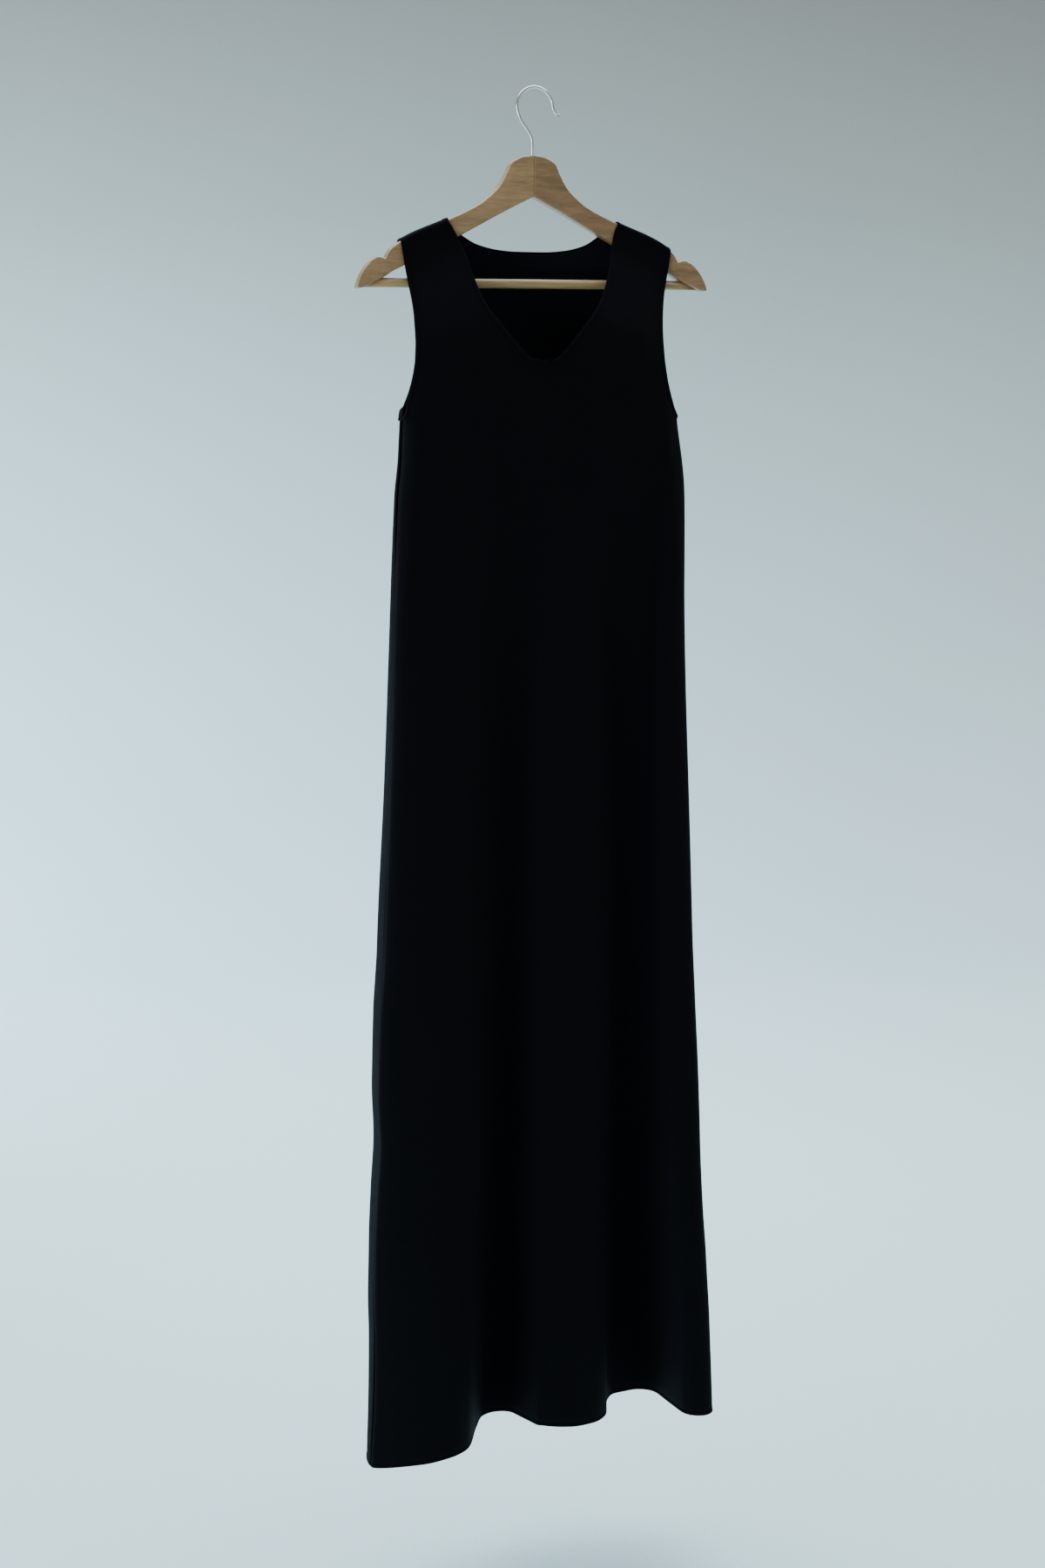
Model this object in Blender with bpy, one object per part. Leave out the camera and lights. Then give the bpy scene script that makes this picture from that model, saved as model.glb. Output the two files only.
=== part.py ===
"""A sleeveless column dress of heavy black knit, hung on a contoured wooden hanger.

Metres, +Z up. The origin is where a rail touches the inside top of the hook. +X runs along the
hanger to the right of someone who faces the front of the dress, and the front faces -Y.
"""

import math

import bmesh
import bpy
import numpy as np

# Hanger, from the top of its middle block down
WOOD_THICKNESS = 0.014
WOOD_EDGE_RADIUS = 0.0025
TIP_EDGE_SHARE = 0.45
WOOD_JOINT_GAP = 0.0003
ARM_SWEEP_BACK = math.radians(5.7)
ARM_CURVE_RADIUS = 0.73
STRAIGHT_STATIONS = (0.1155, 0.133, 0.1505)
BAR_DIAMETER = 0.0104
BAR_HEIGHT = -0.1415
BAR_FORWARD = 0.0055
BAR_END_GAP = 0.0012
BAR_SIDES = 12

# Hook, a steel wire whose round top sits a little to the right of its shank
WIRE_DIAMETER = 0.0032
HOOK_RADIUS = 0.0214
HOOK_TOP = 0.0745
HOOK_OFFSET = 0.003
SHANK_STRAIGHT = 0.016
HOOK_ARC_START = math.radians(203.0)
HOOK_ARC_STEPS = 18
WIRE_BEVEL_STEPS = 3

# The hanger hangs a little lower on its left, and the cloth takes that up by the underarm
TILT = 0.0115
TILT_FADE_START = 0.150
TILT_FADE_END = 0.293

# The wire's bend between shank and round top, and its flicked tip
HOOK_BEND = (
    # x, up
    (-0.0022, 0.0225),
    (-0.0064, 0.0287),
    (-0.0112, 0.0345),
    (-0.0150, 0.0402),
)
HOOK_TIP = (
    # x, up
    (0.0256, 0.0500),
    (0.0280, 0.0470),
    (0.0318, 0.0445),
)

# How far the hung dress lies to the right of the hanger's middle
SWAY = (
    # drop, x
    (0.075, 0.0005),
    (0.110, 0.0035),
    (0.160, 0.0000),
    (0.210, -0.0026),
    (0.250, -0.0024),
    (0.293, 0.0000),
)

# Dress, from the top of the hanger's block down
CLOTH = 0.0016
CLOTH_CLEARANCE = 0.0004
SEAM_GAP = 0.0003
NECK_HALF_WIDTH = 0.102
STRAP_END = 0.1605
UNDERARM_DROP = 0.293
HEM_DROP = 1.513
HALF_COLUMNS = 22
SEAM_COLUMN = 0.014
WRAP_ROWS = 5
FRONT_NECK_ROWS = 10
BACK_NECK_ROWS = 6
FRONT_CENTRE_ROWS = 3
BACK_CENTRE_ROWS = 6
FRONT_NECK_SHARE = 0.62
BACK_NECK_SHARE = 0.42
NECK_ROW_CROWDING = 1.5
CENTRE_RISE = 0.004
LEVEL_ROWS = 15
SECTION_SAMPLES = 161

# Upper contour of one hanger arm: across is the distance from the middle, up is the height
ARM_TOP = (
    # across, up
    (0.0000, 0.0000),
    (0.0118, -0.0013),
    (0.0195, -0.0043),
    (0.0268, -0.0095),
    (0.0303, -0.0170),
    (0.0350, -0.0260),
    (0.0410, -0.0350),
    (0.0490, -0.0430),
    (0.0635, -0.0540),
    (0.0790, -0.0620),
    (0.0980, -0.0705),
    (0.1680, -0.1034),
    (0.1725, -0.1085),
    (0.1765, -0.1150),
    (0.1800, -0.1140),
    (0.1845, -0.1134),
    (0.1910, -0.1162),
    (0.1975, -0.1217),
    (0.2033, -0.1293),
    (0.2075, -0.1370),
    (0.2100, -0.1440),
)

# Lower contour of one hanger arm
ARM_BOTTOM = (
    # across, up
    (0.0000, -0.0455),
    (0.0220, -0.0560),
    (0.0430, -0.0665),
    (0.0630, -0.0770),
    (0.0980, -0.0950),
    (0.1500, -0.1210),
    (0.1670, -0.1290),
    (0.1820, -0.1380),
    (0.2000, -0.1460),
    (0.2060, -0.1478),
    (0.2100, -0.1480),
)

# Edge of the front neck, from the shoulder to the round bottom of the V
FRONT_NECK = (
    # drop, half_width
    (0.0725, 0.1020),
    (0.0810, 0.0980),
    (0.0970, 0.0915),
    (0.1366, 0.0800),
    (0.1610, 0.0702),
    (0.1900, 0.0485),
    (0.2045, 0.0359),
    (0.2143, 0.0275),
    (0.2210, 0.0205),
    (0.2256, 0.0145),
    (0.2275, 0.0080),
    (0.2280, 0.0000),
)

# Edge of the back neck
BACK_NECK = (
    # drop, half_width
    (0.0725, 0.1020),
    (0.0790, 0.0925),
    (0.0890, 0.0800),
    (0.0975, 0.0640),
    (0.1030, 0.0400),
    (0.1048, 0.0180),
    (0.1050, 0.0000),
)

# Edges of the armholes: the back is cut narrower than the front
ARMHOLE = (
    # drop, front_half_width, back_half_width
    (0.1010, 0.1605, 0.1605),
    (0.1100, 0.1593, 0.1540),
    (0.1200, 0.1578, 0.1505),
    (0.1400, 0.1540, 0.1455),
    (0.1620, 0.1500, 0.1390),
    (0.1820, 0.1480, 0.1345),
    (0.2030, 0.1474, 0.1320),
    (0.2230, 0.1482, 0.1325),
    (0.2430, 0.1510, 0.1360),
    (0.2620, 0.1555, 0.1425),
    (0.2790, 0.1610, 0.1530),
    (0.2930, 0.1680, 0.1680),
)

# The tube of cloth below the armholes, whose side seams lie at its left and right.
# The back is rounder (2) or squarer (4) where it turns to meet them.
TUBE = (
    # drop, left, right, seam_y, back_squareness
    (0.293, 0.1655, 0.1670, -0.019, 2.0),
    (0.380, 0.1695, 0.1762, -0.021, 2.4),
    (0.500, 0.1740, 0.1775, -0.024, 3.2),
    (0.700, 0.1825, 0.1830, -0.030, 4.0),
    (0.900, 0.1935, 0.1895, -0.036, 4.2),
    (1.100, 0.2035, 0.1975, -0.042, 4.2),
    (1.300, 0.2110, 0.2055, -0.048, 3.4),
    (1.513, 0.2215, 0.2190, -0.053, 2.5),
)
CHEST_FRONT = -0.047
CHEST_BACK = 0.036
FRONT_SQUARENESS = 4.0

# Folds at the hem: place as a share of the half width, y, and half length of the round top
FRONT_FOLDS = (
    # place, y, flat
    (-1.00, -0.066, 0.00),
    (-0.75, -0.069, 0.19),
    (-0.160, 0.031, 0.10),
    (-0.020, -0.008, 0.00),
    (0.225, -0.039, 0.13),
    (0.645, 0.031, 0.12),
    (0.950, -0.068, 0.09),
)
BACK_FOLDS = (
    # place, y, flat
    (-1.00, 0.040, 0.00),
    (-0.62, 0.046, 0.12),
    (-0.18, 0.082, 0.10),
    (0.26, 0.050, 0.10),
    (0.66, 0.084, 0.10),
    (1.00, 0.050, 0.00),
)
FOLD_ONSET = 0.07

FRONT_LEAN = (
    # share of the way down to the bust, share of the way out from the wood
    (0.00, 0.00),
    (0.15, 0.10),
    (0.30, 0.30),
    (0.55, 0.64),
    (0.80, 0.90),
    (1.00, 0.98),
    (1.20, 1.00),
    (1.50, 1.00),
)
LEAN_LENGTH = 0.143
STRAP_CONTACT = 0.010
NECK_EASE = 0.020


def column(table, index):
    """One named column of a table, as an array."""
    return np.array([row[index] for row in table])


def curve_through(places, values):
    """A smooth function through the points that doesn't overshoot between them."""
    steps = np.diff(places)
    slopes = np.diff(values) / steps
    tangents = np.empty(len(places))
    tangents[0] = slopes[0]
    tangents[-1] = slopes[-1]
    for i in range(1, len(places) - 1):
        before = slopes[i - 1]
        after = slopes[i]
        if before * after <= 0.0:
            tangents[i] = 0.0
        else:
            first = 2.0 * steps[i] + steps[i - 1]
            second = steps[i] + 2.0 * steps[i - 1]
            tangents[i] = (first + second) / (first / before + second / after)

    def value_at(place):
        i = int(np.clip(np.searchsorted(places, place) - 1, 0, len(steps) - 1))
        length = steps[i]
        t = min(max((place - places[i]) / length, 0.0), 1.0)
        return (
            values[i] * (1.0 + 2.0 * t) * (1.0 - t) ** 2
            + tangents[i] * length * t * (1.0 - t) ** 2
            + values[i + 1] * t * t * (3.0 - 2.0 * t)
            + tangents[i + 1] * length * t * t * (t - 1.0)
        )

    return value_at


def mix(first, second, share):
    return first + (second - first) * share


def smooth_step(share):
    share = min(max(share, 0.0), 1.0)
    return share * share * (3.0 - 2.0 * share)


def tilted(point):
    """A point moved with the hanger's slant, which the cloth loses on its way to the underarm."""
    x, y, z = point
    faded = smooth_step((-z - TILT_FADE_START) / (TILT_FADE_END - TILT_FADE_START))
    return (x, y, z + TILT * (1.0 - faded) * x)


sway = curve_through(column(SWAY, 0), column(SWAY, 1))


def set_material(obj, name, colour, roughness, metallic):
    material = bpy.data.materials.new(name)
    material.use_nodes = True
    shader = material.node_tree.nodes["Principled BSDF"]
    shader.inputs["Base Color"].default_value = (*colour, 1.0)
    shader.inputs["Roughness"].default_value = roughness
    shader.inputs["Metallic"].default_value = metallic
    obj.data.materials.append(material)


def new_mesh_object(name, bm, parent):
    bmesh.ops.recalc_face_normals(bm, faces=bm.faces[:])
    mesh = bpy.data.meshes.new(name)
    bm.to_mesh(mesh)
    bm.free()
    obj = bpy.data.objects.new(name, mesh)
    bpy.context.collection.objects.link(obj)
    obj.parent = parent
    return obj


# Wooden hanger

arm_top = curve_through(column(ARM_TOP, 0), column(ARM_TOP, 1))
arm_bottom = curve_through(column(ARM_BOTTOM, 0), column(ARM_BOTTOM, 1))


def arm_middle_y(across):
    """Where the middle of the wood lies: each arm goes back from the joint, then curves forward."""
    across = abs(across)
    return across * math.tan(ARM_SWEEP_BACK) - across * across / (2.0 * ARM_CURVE_RADIUS)


def arm_section(across, side):
    """Corner points of the wood's cross-section, with each corner cut by two steps."""
    top = arm_top(across)
    bottom = arm_bottom(across)
    radius = min(WOOD_EDGE_RADIUS, TIP_EDGE_SHARE * (top - bottom))
    half = WOOD_THICKNESS / 2.0
    middle = arm_middle_y(across)
    corners = (
        (half - radius, top - radius),
        (-half + radius, top - radius),
        (-half + radius, bottom + radius),
        (half - radius, bottom + radius),
    )
    points = []
    for quarter, (corner_y, corner_z) in enumerate(corners):
        for step in (0.0, 0.5, 1.0):
            angle = (quarter + step) * math.pi / 2.0
            y = middle + corner_y + radius * math.cos(angle)
            z = corner_z + radius * math.sin(angle)
            points.append((side * across, y, z))
    return points


def arm_stations():
    """Places along the arm: every point of its contour, and some between on the long straight."""
    stations = np.sort(np.append(column(ARM_TOP, 0), STRAIGHT_STATIONS))
    stations[0] = WOOD_JOINT_GAP / 2.0
    return stations


def make_arm(name, side, colour, parent):
    bm = bmesh.new()
    rings = []
    for across in arm_stations():
        rings.append([bm.verts.new(tilted(point)) for point in arm_section(across, side)])
    for near, far in zip(rings, rings[1:]):
        count = len(near)
        for i in range(count):
            j = (i + 1) % count
            bm.faces.new((near[i], near[j], far[j], far[i]))
    bm.faces.new(rings[0])
    bm.faces.new(rings[-1])
    arm = new_mesh_object(name, bm, parent)
    set_material(arm, name, colour, 0.5, 0.0)
    return arm


def bar_end(height):
    """How far out the bar runs at a height, to stop just short of the arm's sloping underside."""
    stations = arm_stations()
    underside = np.array([arm_bottom(across) for across in stations])
    return float(np.interp(-height, -underside, stations)) - BAR_END_GAP


def make_bar(parent):
    bm = bmesh.new()
    rings = []
    for side in (-1.0, 1.0):
        ring = []
        for i in range(BAR_SIDES):
            angle = 2.0 * math.pi * (i + 0.5) / BAR_SIDES
            z = BAR_HEIGHT + 0.5 * BAR_DIAMETER * math.sin(angle)
            y = -BAR_FORWARD + 0.5 * BAR_DIAMETER * math.cos(angle)
            ring.append(bm.verts.new(tilted((side * bar_end(z), y, z))))
        rings.append(ring)
    for i in range(BAR_SIDES):
        j = (i + 1) % BAR_SIDES
        bm.faces.new((rings[0][i], rings[0][j], rings[1][j], rings[1][i]))
    for ring in rings:
        middle = bm.verts.new(np.mean([v.co for v in ring], axis=0))
        for i in range(BAR_SIDES):
            bm.faces.new((ring[i], ring[(i + 1) % BAR_SIDES], middle))
    bar = new_mesh_object("hanger_bar", bm, parent)
    set_material(bar, "hanger_bar", (0.30, 0.20, 0.09), 0.5, 0.0)


# Wire hook


def hook_points():
    """Middle line of the wire, from the block up the shank and round the hook to its flicked tip."""
    centre_z = HOOK_TOP - HOOK_RADIUS
    points = [(0.0, WOOD_JOINT_GAP), (0.0, SHANK_STRAIGHT), *HOOK_BEND]
    for angle in np.linspace(HOOK_ARC_START, 0.0, HOOK_ARC_STEPS + 1):
        x = HOOK_OFFSET + HOOK_RADIUS * math.cos(angle)
        points.append((x, centre_z + HOOK_RADIUS * math.sin(angle)))
    points += HOOK_TIP
    return points


def make_hook(parent):
    curve = bpy.data.curves.new("hanger_hook", "CURVE")
    curve.dimensions = "3D"
    curve.bevel_depth = WIRE_DIAMETER / 2.0
    curve.bevel_resolution = WIRE_BEVEL_STEPS
    curve.use_fill_caps = True
    spline = curve.splines.new("POLY")
    points = hook_points()
    spline.points.add(len(points) - 1)
    for point, (x, z) in zip(spline.points, points):
        point.co = (x, 0.0, z, 1.0)
    hook = bpy.data.objects.new("hanger_hook", curve)
    bpy.context.collection.objects.link(hook)
    hook.parent = parent
    set_material(hook, "hanger_hook", (0.55, 0.57, 0.58), 0.25, 1.0)


# Dress: sections of the tube of cloth

tube_left = curve_through(column(TUBE, 0), column(TUBE, 1))
tube_right = curve_through(column(TUBE, 0), column(TUBE, 2))
tube_seam_y = curve_through(column(TUBE, 0), column(TUBE, 3))
back_squareness = curve_through(column(TUBE, 0), column(TUBE, 4))
lean = curve_through(column(FRONT_LEAN, 0), column(FRONT_LEAN, 1))


def fold_y(folds, place):
    """Depth of a folded panel at the hem, at a share of the half width from -1 to 1."""
    if place <= folds[0][0]:
        return folds[0][1]
    for near, far in zip(folds, folds[1:]):
        start = near[0] + near[2]
        end = far[0] - far[2]
        if place <= end:
            return mix(near[1], far[1], smooth_step((place - start) / (end - start)))
        if place <= far[0]:
            return far[1]
    return folds[-1][1]


def fold_growth(drop):
    """How far the folds have opened at a height, from 0 at the underarm to 1 at the hem."""
    t = max((drop - UNDERARM_DROP) / (HEM_DROP - UNDERARM_DROP), 0.0)
    grown = t - FOLD_ONSET * (1.0 - math.exp(-t / FOLD_ONSET))
    return grown / (1.0 - FOLD_ONSET * (1.0 - math.exp(-1.0 / FOLD_ONSET)))


def half_section(drop, side, is_front):
    """Points of one panel at a height, from its middle to the left (-1) or right (1) seam."""
    growth = fold_growth(drop)
    seam_y = tube_seam_y(drop)
    width = tube_left(drop) if side < 0.0 else tube_right(drop)
    chest = CHEST_FRONT if is_front else CHEST_BACK
    folds = FRONT_FOLDS if is_front else BACK_FOLDS
    power = FRONT_SQUARENESS if is_front else back_squareness(drop)
    points = []
    for angle in np.linspace(0.0, math.pi / 2.0, SECTION_SAMPLES):
        place = side * math.sin(angle) ** (2.0 / power)
        crown = math.cos(angle) ** (2.0 / power)
        level = mix(chest, fold_y(folds, place), growth)
        points.append((place * width, mix(seam_y, level, crown)))
    return np.array(points)


def along(points, shares):
    """Points at given shares of a line's length."""
    steps = np.linalg.norm(np.diff(points, axis=0), axis=1)
    length = np.append(0.0, np.cumsum(steps))
    wanted = np.asarray(shares) * length[-1]
    return np.array([np.interp(wanted, length, points[:, i]) for i in range(2)]).T


def column_shares():
    """Where the columns of a half panel lie, from its middle to its edge: even, then one close in."""
    return np.append(np.linspace(0.0, 1.0 - SEAM_COLUMN, HALF_COLUMNS), 1.0)


def share_within(distance, points):
    """Share of a half panel's cloth that lies within a distance of the middle."""
    steps = np.linalg.norm(np.diff(points, axis=0), axis=1)
    length = np.append(0.0, np.cumsum(steps))
    return float(np.interp(distance, np.abs(points[:, 0]), length) / length[-1])


# Dress: from the strap over the wood to the bust


def strap_point(x, run, is_front):
    """A point of the strap, a length of cloth down from the shoulder seam on top of the wood."""
    towards = -1.0 if is_front else 1.0
    stand_off = CLOTH_CLEARANCE + CLOTH / 2.0
    half = WOOD_THICKNESS / 2.0
    turn = WOOD_EDGE_RADIUS + stand_off
    level = half - WOOD_EDGE_RADIUS
    top = arm_top(abs(x))
    middle = arm_middle_y(x)
    if run <= level:
        return (x, middle + towards * run, top + stand_off)
    angle = (run - level) / turn
    y = middle + towards * (level + turn * math.sin(angle))
    return (x, y, top - WOOD_EDGE_RADIUS + turn * math.cos(angle))


def place_on_wood(across):
    """Where the wood that bears a point of cloth lies: straight above it, or inside the neck near it."""
    inside = NECK_HALF_WIDTH - across
    if inside <= 0.0:
        return across
    eased = max(1.0 - inside / (2.0 * NECK_EASE), 0.0)
    return NECK_HALF_WIDTH - NECK_EASE * (1.0 - eased * eased)


def upper_point(x, bust_y, drop, is_front):
    """A point of the panel between the wood and the underarm."""
    near_wood = place_on_wood(abs(x))
    towards = -1.0 if is_front else 1.0
    stand_off = WOOD_THICKNESS / 2.0 + CLOTH_CLEARANCE + CLOTH / 2.0
    wood_y = arm_middle_y(near_wood) + towards * stand_off
    below = drop + arm_top(near_wood) - STRAP_CONTACT
    share = lean(below / LEAN_LENGTH)
    return (x, mix(wood_y, bust_y, share), -drop)


# Dress: panels


def edge_curve(table, width_column):
    return np.array([(row[width_column], row[0]) for row in table])


def upper_rows(is_front):
    """Inner and outer end of each row above the underarm, as (half width, drop)."""
    neck = edge_curve(FRONT_NECK if is_front else BACK_NECK, 1)
    arm = edge_curve(ARMHOLE, 1 if is_front else 2)
    neck_rows = FRONT_NECK_ROWS if is_front else BACK_NECK_ROWS
    centre_rows = FRONT_CENTRE_ROWS if is_front else BACK_CENTRE_ROWS
    turn = FRONT_NECK_SHARE if is_front else BACK_NECK_SHARE
    closing_in = 1.0 - (1.0 - np.linspace(0.0, 1.0, neck_rows + 1)) ** NECK_ROW_CROWDING
    neck_ends = along(neck, closing_in)
    centre_drops = np.linspace(neck[-1, 1], UNDERARM_DROP - CENTRE_RISE, centre_rows + 1)
    centre_ends = np.array([(0.0, drop) for drop in centre_drops])
    inner = np.concatenate([neck_ends, centre_ends[1:]])
    arm_shares = np.append(turn * closing_in, np.linspace(turn, 1.0, centre_rows + 1)[1:])
    outer = along(arm, arm_shares)
    return inner[1:], outer[1:], neck_rows


def half_panel_rows(side, is_front):
    """Rows of points of one half panel, each from the middle or neck edge out to the seam or arm.

    Also says which is the first row that reaches the middle.
    """
    shares = column_shares()
    towards = -1.0 if is_front else 1.0
    seam_shift = towards * SEAM_GAP / 2.0
    rows = []
    wrap_length = WOOD_THICKNESS / 2.0 - WOOD_EDGE_RADIUS
    wrap_length += (WOOD_EDGE_RADIUS + CLOTH_CLEARANCE + CLOTH / 2.0) * math.pi / 2.0
    for run in np.linspace(SEAM_GAP / 2.0, wrap_length, WRAP_ROWS):
        row = []
        for across in mix(NECK_HALF_WIDTH, STRAP_END, shares):
            x = side * across + sway(-arm_top(across))
            row.append(strap_point(x, run, is_front))
        rows.append(row)
    section = half_section(UNDERARM_DROP, side, is_front)
    inner, outer, neck_rows = upper_rows(is_front)
    for (in_x, in_drop), (out_x, out_drop) in zip(inner, outer):
        start = share_within(in_x, section)
        end = share_within(out_x, section)
        row = []
        for share, (x, bust_y) in zip(shares, along(section, mix(start, end, shares))):
            drop = mix(in_drop, out_drop, share)
            row.append(upper_point(x + sway(drop), bust_y, drop, is_front))
        rows.append(row)
    x, y, z = rows[-1][-1]
    rows[-1][-1] = (x, y + seam_shift, z)
    for drop in np.linspace(UNDERARM_DROP, HEM_DROP, LEVEL_ROWS + 1)[1:]:
        row = [(x, y, -drop) for x, y in along(half_section(drop, side, is_front), shares)]
        x, y, z = row[-1]
        row[-1] = (x, y + seam_shift, z)
        rows.append(row)
    return rows, WRAP_ROWS + neck_rows - 1


def make_panel(name, is_front, colour, parent):
    bm = bmesh.new()
    middle = {}
    for side in (-1.0, 1.0):
        rows, join_row = half_panel_rows(side, is_front)
        grid = []
        for i, row in enumerate(rows):
            line = [bm.verts.new(tilted(point)) for point in row[1:]]
            if i < join_row:
                line.insert(0, bm.verts.new(tilted(row[0])))
            else:
                if i not in middle:
                    middle[i] = bm.verts.new(tilted(row[0]))
                line.insert(0, middle[i])
            grid.append(line)
        for upper, lower in zip(grid, grid[1:]):
            for k in range(HALF_COLUMNS):
                bm.faces.new((upper[k], upper[k + 1], lower[k + 1], lower[k]))
    panel = new_mesh_object(name, bm, parent)
    wall = panel.modifiers.new("cloth_wall", "SOLIDIFY")
    wall.thickness = CLOTH
    wall.offset = 0.0
    wall.use_even_offset = True
    set_material(panel, name, colour, 0.9, 0.0)


def main():
    for obj in list(bpy.data.objects):
        bpy.data.objects.remove(obj)
    block_top = bpy.data.objects.new("block_top", None)
    bpy.context.collection.objects.link(block_top)
    block_top.location = (-HOOK_OFFSET, 0.0, WIRE_DIAMETER / 2.0 - HOOK_TOP)
    make_arm("hanger_left", -1.0, (0.20, 0.13, 0.06), block_top)
    make_arm("hanger_right", 1.0, (0.17, 0.10, 0.045), block_top)
    make_bar(block_top)
    make_hook(block_top)
    make_panel("dress_front", True, (0.004, 0.005, 0.007), block_top)
    make_panel("dress_back", False, (0.004, 0.005, 0.006), block_top)


main()
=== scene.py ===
"""The look of a black column dress on its wooden hanger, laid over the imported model."""

import math

import bmesh
import bpy
import numpy as np
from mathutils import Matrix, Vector


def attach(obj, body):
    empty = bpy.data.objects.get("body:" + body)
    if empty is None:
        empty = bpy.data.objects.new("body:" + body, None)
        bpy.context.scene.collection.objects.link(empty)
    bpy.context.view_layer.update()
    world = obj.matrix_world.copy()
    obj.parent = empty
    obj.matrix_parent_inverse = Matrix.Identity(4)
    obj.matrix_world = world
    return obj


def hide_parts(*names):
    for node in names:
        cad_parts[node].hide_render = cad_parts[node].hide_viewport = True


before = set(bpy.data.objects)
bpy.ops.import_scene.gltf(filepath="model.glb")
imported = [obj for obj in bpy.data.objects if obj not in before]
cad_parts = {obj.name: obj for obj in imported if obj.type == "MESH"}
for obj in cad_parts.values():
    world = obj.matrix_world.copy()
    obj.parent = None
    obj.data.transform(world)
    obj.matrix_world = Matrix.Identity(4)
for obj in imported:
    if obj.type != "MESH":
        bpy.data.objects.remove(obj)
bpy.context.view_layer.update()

# Where the top middle of the hanger's block lies
BLOCK_TOP = (-0.003, 0.0, -0.0729)

# Hanger, from the top of its middle block down
WOOD_THICKNESS = 0.014
WOOD_EDGE_RADIUS = 0.0025
TIP_EDGE_SHARE = 0.45
WOOD_JOINT_GAP = 0.0003
ARM_SWEEP_BACK = math.radians(5.7)
ARM_CURVE_RADIUS = 0.73
ARM_STATIONS = 150
ARM_CORNER_STEPS = 6
JOINT_CAP_SHARE = 0.9
TIP_CAP_SHARE = 0.6
BAR_DIAMETER = 0.0104
BAR_HEIGHT = -0.1415
BAR_FORWARD = 0.0055
BAR_SIDES = 40
BAR_STATIONS = 12

# Hook
WIRE_DIAMETER = 0.0032
HOOK_RADIUS = 0.0214
HOOK_TOP = 0.0745
HOOK_OFFSET = 0.003
SHANK_STRAIGHT = 0.016
HOOK_ARC_START = math.radians(203.0)
HOOK_ARC_STEPS = 18
HOOK_SMOOTHINGS = 3
WIRE_TIP_ANGLE = 0.45 * math.pi
WIRE_TIP_STEPS = 6
WIRE_SIDES = 20
HOOK_BEND = (
    # x, up
    (-0.0022, 0.0225),
    (-0.0064, 0.0287),
    (-0.0112, 0.0345),
    (-0.0150, 0.0402),
)
HOOK_TIP = (
    # x, up
    (0.0256, 0.0500),
    (0.0280, 0.0470),
    (0.0318, 0.0445),
)

# The hanger hangs a little lower on its left, and the cloth takes that up by the underarm
TILT = 0.0115
TILT_FADE_START = 0.150
TILT_FADE_END = 0.293

SWAY = (
    # drop, x
    (0.075, 0.0005),
    (0.110, 0.0035),
    (0.160, 0.0000),
    (0.210, -0.0026),
    (0.250, -0.0024),
    (0.293, 0.0000),
)

# Dress, from the top of the hanger's block down
CLOTH = 0.0016
CLOTH_CLEARANCE = 0.0004
SEAM_GAP = 0.0003
NECK_HALF_WIDTH = 0.102
STRAP_END = 0.1605
UNDERARM_DROP = 0.293
HEM_DROP = 1.513
NECK_ROW_CROWDING = 1.5
CENTRE_RISE = 0.004
SECTION_SAMPLES = 241
WRAP_ROWS = 10
NECK_ROWS = 46
CENTRE_ROWS = 10
LEVEL_ROWS = 136
EVEN_COLUMNS = 54
EDGE_SHARES = (0.974, 0.981, 0.987, 0.9915, 0.9945, 0.9970, 0.9988, 1.0)
LAST_EVEN_SHARE = 0.966
FRONT_NECK_SHARE = 0.62
BACK_NECK_SHARE = 0.42

ARM_TOP = (
    # across, up
    (0.0000, 0.0000),
    (0.0118, -0.0013),
    (0.0195, -0.0043),
    (0.0268, -0.0095),
    (0.0303, -0.0170),
    (0.0350, -0.0260),
    (0.0410, -0.0350),
    (0.0490, -0.0430),
    (0.0635, -0.0540),
    (0.0790, -0.0620),
    (0.0980, -0.0705),
    (0.1680, -0.1034),
    (0.1725, -0.1085),
    (0.1765, -0.1150),
    (0.1800, -0.1140),
    (0.1845, -0.1134),
    (0.1910, -0.1162),
    (0.1975, -0.1217),
    (0.2033, -0.1293),
    (0.2075, -0.1370),
    (0.2100, -0.1440),
)
ARM_BOTTOM = (
    # across, up
    (0.0000, -0.0455),
    (0.0220, -0.0560),
    (0.0430, -0.0665),
    (0.0630, -0.0770),
    (0.0980, -0.0950),
    (0.1500, -0.1210),
    (0.1670, -0.1290),
    (0.1820, -0.1380),
    (0.2000, -0.1460),
    (0.2060, -0.1478),
    (0.2100, -0.1480),
)
FRONT_NECK = (
    # drop, half_width
    (0.0725, 0.1020),
    (0.0810, 0.0980),
    (0.0970, 0.0915),
    (0.1366, 0.0800),
    (0.1610, 0.0702),
    (0.1900, 0.0485),
    (0.2045, 0.0359),
    (0.2143, 0.0275),
    (0.2210, 0.0205),
    (0.2256, 0.0145),
    (0.2275, 0.0080),
    (0.2280, 0.0000),
)
BACK_NECK = (
    # drop, half_width
    (0.0725, 0.1020),
    (0.0790, 0.0925),
    (0.0890, 0.0800),
    (0.0975, 0.0640),
    (0.1030, 0.0400),
    (0.1048, 0.0180),
    (0.1050, 0.0000),
)
ARMHOLE = (
    # drop, front_half_width, back_half_width
    (0.1010, 0.1605, 0.1605),
    (0.1100, 0.1593, 0.1540),
    (0.1200, 0.1578, 0.1505),
    (0.1400, 0.1540, 0.1455),
    (0.1620, 0.1500, 0.1390),
    (0.1820, 0.1480, 0.1345),
    (0.2030, 0.1474, 0.1320),
    (0.2230, 0.1482, 0.1325),
    (0.2430, 0.1510, 0.1360),
    (0.2620, 0.1555, 0.1425),
    (0.2790, 0.1610, 0.1530),
    (0.2930, 0.1680, 0.1680),
)
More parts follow.
